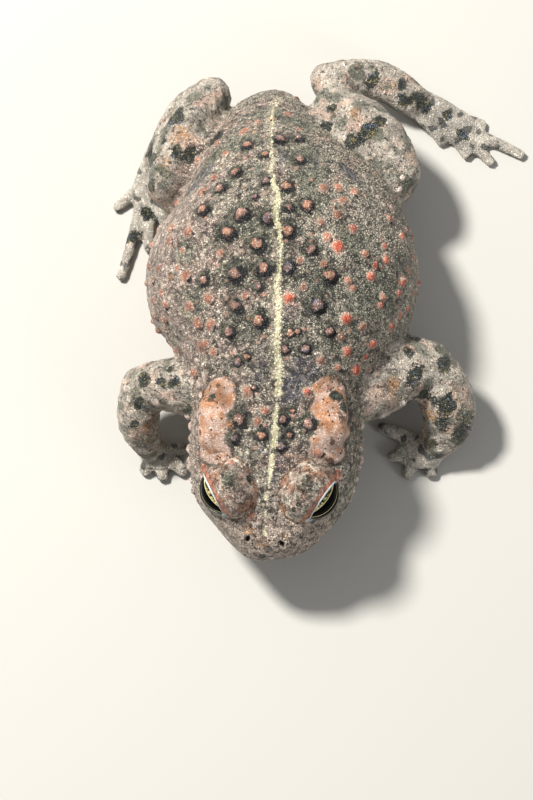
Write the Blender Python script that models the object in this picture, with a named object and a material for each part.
"""A natterjack toad at rest, life size, as a still museum model.

The toad faces -Y with its left side at +X, and it lies on its belly, hands and
feet on the floor at Z = 0. The origin is on the belly's resting flat. Sizes are
in millimetres and become metres where a mesh is made.
"""

import math

import bmesh
import bpy
import numpy as np
from mathutils import Matrix, Vector
from mathutils.bvhtree import BVHTree

MM = 0.001
GAP = 0.3
LEFT, RIGHT = 1, -1
SIDES = {"left": LEFT, "right": RIGHT}

# The trunk, from the tip of the snout to the vent. Each section gives how far
# along the body it lies, how far its middle is to the left, its half width, the
# heights of the back, the belly and the widest level, and how full its upper and
# lower halves are: 2 is an ellipse, and more is squarer.
SNOUT, VENT = -35.1, 34.8
NECK = -15.5
TRUNK = (
    (SNOUT, -1.8, 0.0, 11.0, 11.0, 11.0, 2.2, 2.2),
    (-34.4, -1.8, 3.4, 13.4, 9.3, 11.0, 2.3, 2.2),
    (-32.1, -1.5, 6.4, 15.4, 8.0, 10.9, 2.6, 2.3),
    (-29.2, -1.2, 8.9, 16.7, 7.0, 10.7, 2.9, 2.4),
    (-26.3, -1.05, 10.75, 17.8, 6.2, 10.5, 3.0, 2.4),
    (-22.3, -0.8, 11.7, 19.4, 5.3, 10.2, 2.8, 2.4),
    (-18.4, -0.55, 12.0, 20.8, 4.4, 10.0, 2.6, 2.3),
    (-13.2, -0.3, 11.8, 22.4, 2.9, 10.0, 2.4, 2.3),
    (-7.4, -0.2, 14.2, 24.3, 1.0, 10.0, 2.3, 2.3),
    (-1.8, 0.1, 17.6, 25.9, -0.4, 9.8, 2.2, 2.3),
    (3.5, -0.1, 19.1, 26.9, -1.0, 9.6, 2.2, 2.4),
    (9.5, -0.2, 18.8, 26.9, -1.1, 9.4, 2.2, 2.4),
    (15.0, -0.5, 16.7, 25.4, -0.9, 9.3, 2.2, 2.4),
    (20.6, -1.4, 12.9, 22.3, -0.4, 9.2, 2.2, 2.3),
    (26.0, -2.1, 9.1, 18.2, 1.0, 9.0, 2.2, 2.2),
    (30.6, -2.2, 6.3, 14.0, 3.2, 8.7, 2.1, 2.1),
    (33.4, -2.1, 3.7, 11.2, 5.6, 8.5, 2.0, 2.0),
    (VENT, -2.1, 0.0, 8.4, 8.4, 8.4, 2.0, 2.0),
)
HEAD_RINGS, TORSO_RINGS, TRUNK_SIDES = 18, 27, 30

# The eyes sit in sockets under lid domes. Each dome is cut off by a plane that
# faces out and forwards, and its upper edge overhangs the eye a little.
EYE_ALONG, EYE_ACROSS, EYE_HEIGHT, EYE_RADIUS = -26.5, 5.95, 15.9, 3.45
LID_RADII = (3.4, 4.4, 4.1)
LID_INWARDS, LID_RISE = 0.5, 0.5
LID_FORWARDS, HEAD_TURN = math.radians(31), math.radians(3.5)
LID_EDGE_LEAN = math.radians(6)
LID_EDGE_REACH = 1.6

NOSTRIL_ALONG, NOSTRIL_ACROSS, NOSTRIL_RADIUS = -33.1, 2.3, 0.55

# The line of the mouth, seen from the side, as (along, height).
MOUTH_LINE = ((-38.0, 10.5), (-33.0, 10.3), (-28.0, 9.8), (-23.5, 9.2), (-20.3, 8.5))
JAW_HINGE = (-18.6, 1.0)

# Each parotoid gland is a long cushion behind the eye.
GLAND_FRONT, GLAND_BACK, GLAND_ACROSS = -21.9, -13.1, 7.6
GLAND_HALF_WIDTH, GLAND_RISE = 2.5, 1.5

# Half width and half height of each stretch of a limb, from its root outwards.
THIGH = ((4.4, 5.0), (4.8, 5.0), (4.2, 4.5), (3.4, 3.8))
SHANK = ((3.4, 3.7), (4.3, 4.2), (4.2, 4.0), (3.2, 3.3))
TARSUS = ((2.6, 2.6), (2.6, 2.4), (2.7, 2.2), (2.3, 1.7))
FOOT_PAD = ((2.1, 1.6), (2.6, 1.3), (2.4, 1.0))
TOE = (1.0, 0.85, 0.7)
UPPER_ARM = ((5.2, 4.8), (4.8, 4.6), (4.2, 4.2), (3.5, 3.6))
FOREARM = ((3.3, 3.3), (3.6, 3.5), (3.4, 3.0), (2.5, 2.0))
PALM = ((2.2, 1.5), (2.6, 1.3), (2.1, 1.0))
FINGER = (1.05, 0.95, 0.8)
DIGIT_LEVEL = 0.8

# The left limbs lie with their broad side up and the right limbs on edge.
SPREAD = {"left": (1.1, 0.95), "right": (0.83, 1.05)}

# Where each limb runs. The two sides lie differently, as in a toad at rest.
LIMBS = {
    "left": {
        "thigh": ((4.5, 27.0, 9.0), (8.5, 25.0, 9.0), (12.5, 22.5, 8.3), (15.2, 19.8, 7.4)),
        "shank": ((16.1, 20.8, 10.2), (13.5, 24.4, 11.2), (10.1, 28.4, 10.6), (6.7, 32.4, 8.6)),
        "tarsus": ((5.2, 36.4, 7.2), (9.4, 37.4, 6.4), (14.2, 37.1, 5.0), (18.3, 34.9, 3.4)),
        "foot": ((18.0, 35.2, 2.6), (21.8, 33.2, 1.7), (24.4, 31.8, 1.1)),
        "toes": (
            ((20.0, 32.6), (21.2, 31.2), (22.2, 29.4)),
            ((22.4, 31.8), (24.3, 29.8), (25.9, 27.4)),
            ((23.6, 31.4), (26.6, 29.2), (29.4, 26.4)),
            ((24.0, 31.9), (28.8, 30.0), (33.8, 27.5)),
            ((23.4, 33.0), (25.8, 32.9), (28.3, 32.2)),
        ),
        "upper_arm": ((9.0, -10.0, 11.5), (13.5, -9.2, 11.2), (18.0, -7.3, 10.2), (21.3, -7.6, 9.0)),
        "forearm": ((22.0, -8.4, 8.6), (23.1, -11.3, 7.4), (23.2, -13.9, 5.4), (21.8, -16.3, 3.2)),
        "palm": ((21.6, -16.9, 2.2), (19.3, -17.0, 1.6), (17.8, -16.6, 1.1)),
        "fingers": (
            ((18.4, -15.6), (16.0, -14.4), (13.7, -13.6)),
            ((17.9, -16.8), (16.6, -17.4), (15.3, -17.9)),
            ((18.8, -17.8), (18.0, -19.2), (17.4, -20.6)),
            ((20.6, -17.9), (20.8, -19.2), (20.9, -20.5)),
        ),
    },
    "right": {
        "thigh": ((-5.8, 26.5, 9.0), (-9.6, 24.4, 9.0), (-13.0, 21.4, 8.3), (-15.4, 18.4, 7.4)),
        "shank": ((-17.1, 19.4, 9.9), (-15.3, 25.0, 10.4), (-12.9, 30.0, 9.8), (-10.7, 34.1, 8.2)),
        "tarsus": ((-11.5, 35.3, 6.2), (-14.9, 33.4, 5.4), (-17.3, 29.9, 4.0), (-19.4, 26.2, 2.9)),
        "foot": ((-19.2, 26.8, 2.4), (-20.5, 23.8, 1.7), (-21.1, 21.2, 1.1)),
        "toes": (
            ((-19.3, 24.3), (-18.0, 22.3), (-16.8, 20.3)),
            ((-19.9, 22.0), (-18.7, 19.0), (-17.6, 15.9)),
            ((-20.7, 21.8), (-20.5, 17.5), (-20.4, 13.2)),
            ((-21.3, 21.8), (-22.6, 15.4), (-24.3, 9.0)),
            ((-21.6, 22.6), (-23.5, 21.2), (-25.3, 19.6)),
        ),
        "upper_arm": ((-9.0, -10.8, 11.5), (-12.8, -10.6, 11.3), (-16.5, -9.9, 10.4), (-19.9, -10.0, 9.0)),
        "forearm": ((-20.1, -10.6, 8.6), (-20.4, -12.8, 7.4), (-20.2, -14.9, 5.4), (-19.4, -16.8, 3.2)),
        "palm": ((-19.2, -16.7, 2.2), (-18.1, -17.9, 1.6), (-17.4, -18.5, 1.1)),
        "fingers": (
            ((-17.4, -17.3), (-15.9, -16.9), (-14.4, -16.6)),
            ((-17.0, -18.3), (-15.6, -19.2), (-14.4, -20.1)),
            ((-17.9, -18.7), (-17.6, -19.9), (-17.4, -21.0)),
            ((-18.9, -18.1), (-19.5, -19.1), (-20.0, -20.1)),
        ),
    },
}
LIMB_SIDES, DIGIT_SIDES = 12, 8


# The photograph that the warts' places are read from: its frame in pixels, how far
# away the camera stood, how many pixels a millimetre takes there, how far it leaned
# towards the head and the left side, and the point that it looked at. The places
# are columns and rows of an enlargement, with the pixel that it starts at.
FRAME_WIDE, FRAME_HIGH = 533, 800
CAMERA_AWAY, PIXELS_PER_MM = 420.0, 7.34
TOWARDS_HEAD, TOWARDS_LEFT = math.radians(15), math.radians(4)
CAMERA_AIM = (-1.2, -15.2, 22.0)
ENLARGED_FROM, ENLARGED_TIMES = (100.0, 40.0), 2.9037

# The main warts of the back and the crown, by their radius: low domes, each with
# its root sunk in the skin.
LARGE, MIDDLE, SMALL = 1.05, 0.88, 0.7
BACK_WARTS = {
    LARGE: (
        (410, 506), (486, 516), (370, 560), (455, 592), (392, 678), (473, 664),
        (545, 555), (665, 685), (630, 770), (462, 815), (405, 1100),
    ),
    MIDDLE: (
        (396, 385), (427, 308), (350, 432), (300, 494), (303, 697), (392, 773),
        (376, 846), (540, 425), (600, 480), (612, 607), (690, 600), (548, 750),
        (545, 660), (595, 895), (716, 810), (665, 845), (877, 700), (743, 958),
        (716, 905), (605, 1115), (530, 1100), (524, 1178),
    ),
    SMALL: (
        (250, 685), (300, 888), (482, 410), (548, 487), (840, 518), (793, 882),
        (787, 685), (390, 1155), (470, 1148), (575, 288), (255, 557), (275, 965),
        (735, 548), (190, 768), (250, 810), (430, 1020), (600, 1020), (650, 430),
    ),
}
WART_SIDES = 7
WART_RISE, WART_ROOT = 0.5, 0.7

# The warts of the flanks, which the photograph doesn't show: two rows on each side.
FLANK_WART_PLACES = (-3.5, -0.2, 3.1, 6.4, 9.7, 13.0)
FLANK_WART_HEIGHTS = (8.2, 13.0)


def spline(knots, rows, places):
    """Reads a natural cubic spline through rows, one at each knot, at the given places."""
    knots = np.asarray(knots, float)
    rows = np.asarray(rows, float)
    places = np.asarray(places, float)
    step = np.diff(knots)
    slope = np.diff(rows, axis=0) / step[:, None]
    matrix = np.eye(len(knots))
    right = np.zeros_like(rows)
    for i in range(1, len(knots) - 1):
        matrix[i, i - 1 : i + 2] = step[i - 1], 2 * (step[i - 1] + step[i]), step[i]
        right[i] = 3 * (slope[i] - slope[i - 1])
    bend = np.linalg.solve(matrix, right)
    span = np.clip(np.searchsorted(knots, places) - 1, 0, len(step) - 1)
    away = (places - knots[span])[:, None]
    width = step[span][:, None]
    first = slope[span] - width * (2 * bend[span] + bend[span + 1]) / 3
    third = (bend[span + 1] - bend[span]) / (3 * width)
    return rows[span] + away * (first + away * (bend[span] + away * third))


def chord_knots(points):
    """Knots spaced by the straight distance between neighbouring points."""
    lengths = np.linalg.norm(np.diff(np.asarray(points, float), axis=0), axis=1)
    return np.concatenate([[0.0], np.cumsum(lengths)])


def trunk_stations():
    """The trunk's sections with one more past each end, turned over, so that the ends close round."""
    rows = [list(row) for row in TRUNK]
    past = []
    for row in (rows[1], rows[-2]):
        along, aside, half_width, top, bottom, *rest = row
        past.append([along, aside, -half_width, bottom, top, *rest])
    return np.array([past[0], *rows, past[1]])


STATIONS = trunk_stations()
TRUNK_KNOTS = chord_knots(STATIONS[:, [0, 2]])
TRUNK_START, TRUNK_END = TRUNK_KNOTS[1], TRUNK_KNOTS[-2]


def trunk_rings(first_knot, last_knot, count):
    """Rings of the trunk between two knots, closer together near its ends."""
    share = np.linspace(0, 1, count)
    knots = first_knot + (last_knot - first_knot) * share
    rows = spline(TRUNK_KNOTS, STATIONS, knots)
    along, aside, half_width, top, bottom, level, full_up, full_down = rows.T
    drift = np.gradient(aside, along + 1e-9 * share)
    turn = np.arctan(np.clip(drift, -0.2, 0.2))
    angle = np.linspace(0, 2 * math.pi, TRUNK_SIDES, endpoint=False)[None, :]
    upper = np.sin(angle) >= 0
    power = 2 / np.where(upper, full_up[:, None], full_down[:, None])
    out = np.sign(np.cos(angle)) * np.abs(np.cos(angle)) ** power * half_width[:, None]
    lift = np.abs(np.sin(angle)) ** power
    reach = np.where(upper, (top - level)[:, None], (bottom - level)[:, None])
    height = level[:, None] + lift * reach
    x = aside[:, None] + out * np.cos(turn)[:, None]
    y = along[:, None] - out * np.sin(turn)[:, None]
    return np.stack([x, y, height], axis=-1)


def knot_at(along):
    """The knot where the trunk's centre line reaches a place along the body."""
    knots = np.linspace(TRUNK_START, TRUNK_END, 2000)
    places = spline(TRUNK_KNOTS, STATIONS, knots)[:, 0]
    return float(np.interp(along, places, knots))


def on_head(side, across, along, height):
    """A point given from the head's own middle line, which turns a little to the right."""
    knot = knot_at(along)
    rows = spline(TRUNK_KNOTS, STATIONS, [knot - 0.5, knot, knot + 0.5])
    drift = (rows[2, 1] - rows[0, 1]) / (rows[2, 0] - rows[0, 0])
    out = side * across
    return Vector((rows[1, 1] + out, along - out * drift, height))


def tube_rings(path, sizes, sides, rings, rounding=3, level_ends=False):
    """Rings of a limb: an ellipse carried along a smooth path, with both ends rounded off.

    sizes holds a half width and half height at each point of the path. The
    round ends reach past the path's ends by about three quarters of the size.
    """
    path = np.asarray(path, float)
    sizes = np.asarray(sizes, float)
    knots = chord_knots(path)
    length = knots[-1]
    start, end = 0.75 * sizes[0].mean(), 0.75 * sizes[-1].mean()
    turns = np.linspace(0, math.pi / 2, rounding + 1)[1:]
    before = -start * np.cos(turns)
    after = length + end * np.cos(turns[::-1])
    places = np.concatenate([before, np.linspace(0, length, rings)[1:-1], after])
    inside = np.clip(places, 0, length)
    centre = spline(knots, path, inside)
    size = spline(knots, sizes, inside)
    ahead = spline(knots, path, np.clip(inside + 0.2, 0, length))
    behind = spline(knots, path, np.clip(inside - 0.2, 0, length))
    tangent = ahead - behind
    if level_ends:
        tangent[:, 2] = 0
    tangent /= np.linalg.norm(tangent, axis=1)[:, None]
    centre += tangent * (places - inside)[:, None]
    shrink = np.ones(len(places))
    shrink[:rounding] = np.sin(turns)
    shrink[-rounding:] = np.sin(turns[::-1])
    size = size * shrink[:, None]
    across = np.cross(tangent, (0.0, 0.0, 1.0))
    across /= np.linalg.norm(across, axis=1)[:, None]
    upright = np.cross(across, tangent)
    angle = np.linspace(0, 2 * math.pi, sides, endpoint=False)
    sideways = size[:, :1] * np.cos(angle)
    upwards = size[:, 1:] * np.sin(angle)
    rings = centre[:, None] + sideways[..., None] * across[:, None]
    rings = rings + upwards[..., None] * upright[:, None]
    poles = centre[[0, -1]] + tangent[[0, -1]] * np.array([[-start], [end]]) * 0.06
    return rings, poles


def mesh_object(name, rings, poles=None):
    """A closed mesh object from rings in millimetres, flattened where it meets the floor."""
    count, sides, _ = rings.shape
    if poles is None:
        poles = rings[[0, -1]].mean(axis=1)
    points = np.concatenate([rings.reshape(-1, 3), poles])
    points[:, 2] = np.maximum(points[:, 2], 0)
    first, last = count * sides, count * sides + 1
    faces = []
    for i in range(count - 1):
        for j in range(sides):
            k = (j + 1) % sides
            faces.append((i * sides + j, i * sides + k, (i + 1) * sides + k, (i + 1) * sides + j))
    for j in range(sides):
        k = (j + 1) % sides
        faces.append((first, k, j))
        faces.append((last, (count - 1) * sides + j, (count - 1) * sides + k))
    mesh = bpy.data.meshes.new(name)
    mesh.from_pydata((points * MM).tolist(), [], faces)
    made = bmesh.new()
    made.from_mesh(mesh)
    bmesh.ops.recalc_face_normals(made, faces=made.faces)
    made.to_mesh(mesh)
    made.free()
    mesh.shade_smooth()
    obj = bpy.data.objects.new(name, mesh)
    bpy.context.scene.collection.objects.link(obj)
    return obj


def ellipsoid(name, centre, radii, segments=20, rings=12, turn=None):
    """A closed ellipsoid at a centre in millimetres."""
    made = bmesh.new()
    bmesh.ops.create_uvsphere(made, u_segments=segments, v_segments=rings, radius=1.0)
    shape = Matrix.Translation(Vector(centre) * MM)
    if turn is not None:
        shape = shape @ turn
    shape = shape @ Matrix.Diagonal((*(Vector(radii) * MM), 1.0))
    made.transform(shape)
    mesh = bpy.data.meshes.new(name)
    made.to_mesh(mesh)
    made.free()
    mesh.shade_smooth()
    obj = bpy.data.objects.new(name, mesh)
    bpy.context.scene.collection.objects.link(obj)
    return obj


def block(name, outline, half_width):
    """A straight block: an outline of (along, height) points carried across the body."""
    made = bmesh.new()
    corners = [made.verts.new((-half_width * MM, y * MM, z * MM)) for y, z in outline]
    face = made.faces.new(corners)
    pushed = bmesh.ops.extrude_face_region(made, geom=[face])
    moved = [v for v in pushed["geom"] if isinstance(v, bmesh.types.BMVert)]
    bmesh.ops.translate(made, verts=moved, vec=(2 * half_width * MM, 0, 0))
    bmesh.ops.recalc_face_normals(made, faces=made.faces)
    mesh = bpy.data.meshes.new(name)
    made.to_mesh(mesh)
    made.free()
    obj = bpy.data.objects.new(name, mesh)
    bpy.context.scene.collection.objects.link(obj)
    return obj


def remove(*objects):
    for obj in objects:
        bpy.data.objects.remove(obj)


def grown(obj, by):
    """A copy of an object whose surface is pushed out along its normals."""
    copy = bpy.data.objects.new(obj.name + "_grown", obj.data.copy())
    bpy.context.scene.collection.objects.link(copy)
    normals = [v.normal.copy() for v in copy.data.vertices]
    for vertex, normal in zip(copy.data.vertices, normals):
        vertex.co += normal * by * MM
    return copy


def apply_boolean(obj, operation, others):
    """Joins or cuts an object with closed meshes, applies it and removes them."""
    group = bpy.data.collections.new(obj.name + "_others")
    bpy.context.scene.collection.children.link(group)
    for other in others:
        bpy.context.scene.collection.objects.unlink(other)
        group.objects.link(other)
    modifier = obj.modifiers.new("Boolean", "BOOLEAN")
    modifier.operation = operation
    modifier.operand_type = "COLLECTION"
    modifier.collection = group
    modifier.solver = "EXACT"
    bpy.context.view_layer.update()
    graph = bpy.context.evaluated_depsgraph_get()
    result = bpy.data.meshes.new_from_object(obj.evaluated_get(graph))
    obj.modifiers.clear()
    obj.data = result
    remove(*others)
    bpy.data.collections.remove(group)
    return obj


def keep_largest(obj):
    """Drops every loose scrap, so that one closed surface is left."""
    made = bmesh.new()
    made.from_mesh(obj.data)
    made.verts.ensure_lookup_table()
    unseen = set(made.verts)
    islands = []
    while unseen:
        front = [unseen.pop()]
        island = list(front)
        while front:
            vertex = front.pop()
            for edge in vertex.link_edges:
                other = edge.other_vert(vertex)
                if other in unseen:
                    unseen.remove(other)
                    front.append(other)
                    island.append(other)
        islands.append(island)
    islands.sort(key=len)
    for island in islands[:-1]:
        bmesh.ops.delete(made, geom=island, context="VERTS")
    made.to_mesh(obj.data)
    made.free()
    return obj


def clear_of(obj, *neighbours):
    """Cuts an object back so that it keeps the gap to its neighbours."""
    apply_boolean(obj, "DIFFERENCE", [grown(n, GAP) for n in neighbours])
    return keep_largest(obj)


def limb_piece(name, path, sizes, rings=8):
    """One stretch of a limb, or any other rounded form carried along a path."""
    rings_made, poles = tube_rings(path, sizes, LIMB_SIDES, rings)
    return mesh_object(name, rings_made, poles)


def digit(name, points, radii):
    """A finger or toe on the floor, from its knuckle to its blunt tip."""
    path = [(x, y, max(DIGIT_LEVEL * r, 0.45)) for (x, y), r in zip(points, radii)]
    rings, poles = tube_rings(path, [(r, r) for r in radii], DIGIT_SIDES, 5, 2, level_ends=True)
    return mesh_object(name, rings, poles)


def hand_or_foot(name, pad, pad_sizes, digits, radii):
    """A palm or sole with its digits joined to it in one body."""
    rings, poles = tube_rings(pad, pad_sizes, LIMB_SIDES, 6, level_ends=True)
    obj = mesh_object(name, rings, poles)
    pieces = [digit(f"{name}_digit_{i}", points, radii) for i, points in enumerate(digits)]
    return apply_boolean(obj, "UNION", pieces)


def make_head(head):
    """Adds the lid domes, then cuts the eye sockets and the nostrils."""
    eyes = {}
    domes, sockets = [], []
    for name, side in SIDES.items():
        centre = on_head(side, EYE_ACROSS, EYE_ALONG, EYE_HEIGHT)
        eyes[name] = ellipsoid(f"eye_{name}", centre, (EYE_RADIUS,) * 3, 20, 12)
        sockets.append(ellipsoid("socket", centre, (EYE_RADIUS + GAP,) * 3, 20, 12))
        lid_centre = centre + Vector((-side * LID_INWARDS, 0, LID_RISE))
        forwards = Matrix.Rotation(-side * (LID_FORWARDS + side * HEAD_TURN), 4, "Z")
        dome = ellipsoid("lid", lid_centre, LID_RADII, 20, 12, forwards)
        size = 4 * EYE_RADIUS
        edge = block("lid_edge", ((-size, -size), (size, -size), (size, size), (-size, size)), size)
        lean = Matrix.Rotation(side * LID_EDGE_LEAN, 4, "Y")
        place = Matrix.Translation(centre * MM) @ forwards @ lean
        place = place @ Matrix.Translation(Vector((side * (size + LID_EDGE_REACH), 0, 0)) * MM)
        edge.data.transform(place)
        domes.append(apply_boolean(dome, "DIFFERENCE", [edge]))
        nostril = on_head(side, NOSTRIL_ACROSS, NOSTRIL_ALONG, 14.3)
        sockets.append(ellipsoid("nostril", nostril, (NOSTRIL_RADIUS,) * 3, 10, 6))
    apply_boolean(head, "UNION", domes)
    apply_boolean(head, "DIFFERENCE", sockets)
    return eyes


def make_jaw(head):
    """Parts the lower jaw from the head along the line of the mouth."""
    lowest, front = -2.0, MOUTH_LINE[0][0]
    outline = [*MOUTH_LINE, (JAW_HINGE[0], JAW_HINGE[1]), (JAW_HINGE[0], lowest), (front, lowest)]
    region = block("jaw_region", outline, 20.0)
    jaw = bpy.data.objects.new("lower_jaw", head.data.copy())
    bpy.context.scene.collection.objects.link(jaw)
    wider = grown(region, GAP)
    apply_boolean(jaw, "INTERSECT", [region])
    apply_boolean(head, "DIFFERENCE", [wider])
    keep_largest(jaw)
    return jaw


def make_gland(name, side):
    """A parotoid gland as a cushion, half sunk in the skin before it is cut free."""
    path, sizes = [], []
    for share, width in ((0.0, 0.8), (0.33, 1.0), (0.67, 1.05), (1.0, 0.9)):
        along = GLAND_FRONT + 2.0 + (GLAND_BACK - GLAND_FRONT - 4.0) * share
        knot = knot_at(along)
        row = spline(TRUNK_KNOTS, STATIONS, [knot])[0]
        reach = GLAND_ACROSS / row[2]
        surface = row[5] + (row[3] - row[5]) * (1 - reach ** row[6]) ** (1 / row[6])
        path.append((row[1] + side * GLAND_ACROSS, along, surface))
        sizes.append((GLAND_HALF_WIDTH * width, GLAND_RISE * width))
    return limb_piece(name, path, sizes, rings=7)


def solid_tree(*objects):
    """The faces of some objects, for rays to find."""
    points, faces = [], []
    for obj in objects:
        start = len(points)
        points += [v.co / MM for v in obj.data.vertices]
        faces += [[start + i for i in p.vertices] for p in obj.data.polygons]
    return BVHTree.FromPolygons(points, faces)


def from_photo(tree, column, row):
    """The place on the skin, and its outward direction, under a reading of the photograph."""
    head, left = TOWARDS_HEAD, TOWARDS_LEFT
    back = Vector((math.sin(left), -math.sin(head) * math.cos(left), math.cos(head) * math.cos(left)))
    up = Vector((0, math.cos(head), math.sin(head)))
    up = (up - back * up.dot(back)).normalized()
    right = up.cross(back)
    across = ENLARGED_FROM[0] + column / ENLARGED_TIMES - FRAME_WIDE / 2
    down = ENLARGED_FROM[1] + row / ENLARGED_TIMES - FRAME_HIGH / 2
    away = PIXELS_PER_MM * CAMERA_AWAY
    ray = (right * across - up * down - back * away).normalized()
    place, normal, _, _ = tree.ray_cast(Vector(CAMERA_AIM) + back * CAMERA_AWAY, ray)
    return place, normal


def wart(place, normal, radius):
    """The points and faces of a low dome with its root sunk in the skin."""
    aside = normal.orthogonal().normalized()
    other = normal.cross(aside)
    points = []
    for width, height in ((1.05, -WART_ROOT), (0.62, 0.75 * WART_RISE * radius)):
        for i in range(WART_SIDES):
            angle = 2 * math.pi * i / WART_SIDES
            out = aside * math.cos(angle) + other * math.sin(angle)
            points.append((place + out * radius * width + normal * height) * MM)
    points.append((place + normal * WART_RISE * radius) * MM)
    faces = [list(range(WART_SIDES))[::-1]]
    for i in range(WART_SIDES):
        j = (i + 1) % WART_SIDES
        faces.append([i, j, j + WART_SIDES, i + WART_SIDES])
        faces.append([i + WART_SIDES, j + WART_SIDES, 2 * WART_SIDES])
    return points, faces


def add_warts(head, torso):
    """Raises the main warts on the back, the crown and the flanks."""
    tree = solid_tree(head, torso)
    found = []
    for radius, readings in BACK_WARTS.items():
        for column, row in readings:
            found.append((*from_photo(tree, column, row), radius))
    for side in SIDES.values():
        for i, along in enumerate(FLANK_WART_PLACES):
            for height in FLANK_WART_HEIGHTS:
                start = Vector((side * 60.0, along + 1.6 * (height > 10), height))
                place, normal, _, _ = tree.ray_cast(start, Vector((-side, 0, 0)))
                found.append((place, normal, SMALL if i % 2 else SMALL * 0.85))
    for obj, on_this in ((head, lambda y, r: y < NECK - r - GAP), (torso, lambda y, r: y > NECK + r + GAP)):
        points, faces = [], []
        for place, normal, radius in found:
            if not on_this(place.y, radius):
                continue
            dome_points, dome_faces = wart(place, normal, radius)
            faces += [[len(points) + i for i in face] for face in dome_faces]
            points += dome_points
        mesh = bpy.data.meshes.new("warts")
        mesh.from_pydata(points, [], faces)
        warts = bpy.data.objects.new("warts", mesh)
        bpy.context.scene.collection.objects.link(warts)
        apply_boolean(obj, "UNION", [warts])
        keep_largest(obj)


def paint(obj, colour, roughness):
    """Gives an object its own material."""
    material = bpy.data.materials.new(obj.name + "_finish")
    material.use_nodes = True
    shader = material.node_tree.nodes["Principled BSDF"]
    shader.inputs["Base Color"].default_value = (*colour, 1.0)
    shader.inputs["Roughness"].default_value = roughness
    shader.inputs["Metallic"].default_value = 0.0
    obj.data.materials.clear()
    obj.data.materials.append(material)


BACK_SKIN = (0.20, 0.17, 0.13)
LIMB_SKIN = (0.40, 0.32, 0.25)
GLAND_SKIN = (0.42, 0.20, 0.12)
EYE_COLOUR = (0.03, 0.025, 0.01)


def build():
    for old in list(bpy.data.objects):
        bpy.data.objects.remove(old)

    neck = knot_at(NECK)
    head_rings = trunk_rings(TRUNK_START + 0.35, neck - GAP / 2, HEAD_RINGS)
    torso_rings = trunk_rings(neck + GAP / 2, TRUNK_END - 0.35, TORSO_RINGS)
    head = mesh_object("head", head_rings)
    torso = mesh_object("torso", torso_rings)
    add_warts(head, torso)

    limbs = {}
    for name, parts in LIMBS.items():
        for part, sizes in (("thigh", THIGH), ("shank", SHANK), ("tarsus", TARSUS),
                            ("upper_arm", UPPER_ARM), ("forearm", FOREARM)):
            spread = np.array(sizes) * SPREAD[name]
            limbs[part, name] = limb_piece(f"{part}_{name}", parts[part], spread)
        for part, pad, sizes, digits, radii in (("foot", "foot", FOOT_PAD, "toes", TOE),
                                                ("hand", "palm", PALM, "fingers", FINGER)):
            spread = np.array(sizes) * SPREAD[name]
            limbs[part, name] = hand_or_foot(f"{part}_{name}", parts[pad], spread, parts[digits], radii)
    glands = {name: make_gland(f"parotoid_{name}", side) for name, side in SIDES.items()}

    for name in SIDES:
        piece = {part: limbs[part, name] for part, side in limbs if side == name}
        clear_of(piece["foot"], torso, piece["tarsus"], piece["shank"], piece["thigh"])
        clear_of(piece["tarsus"], torso, piece["shank"], piece["thigh"])
        clear_of(piece["shank"], torso, piece["thigh"])
        clear_of(piece["thigh"], torso)
        clear_of(piece["hand"], torso, piece["forearm"])
        clear_of(piece["forearm"], torso, piece["upper_arm"])
        clear_of(piece["upper_arm"], torso, head)
        clear_of(glands[name], torso, head)

    eyes = make_head(head)
    jaw = make_jaw(head)
    keep_largest(head)

    for obj in (head, torso, jaw):
        paint(obj, BACK_SKIN, 0.75)
    for obj in limbs.values():
        paint(obj, LIMB_SKIN, 0.7)
    for obj in glands.values():
        paint(obj, GLAND_SKIN, 0.7)
    for obj in eyes.values():
        paint(obj, EYE_COLOUR, 0.08)


build()
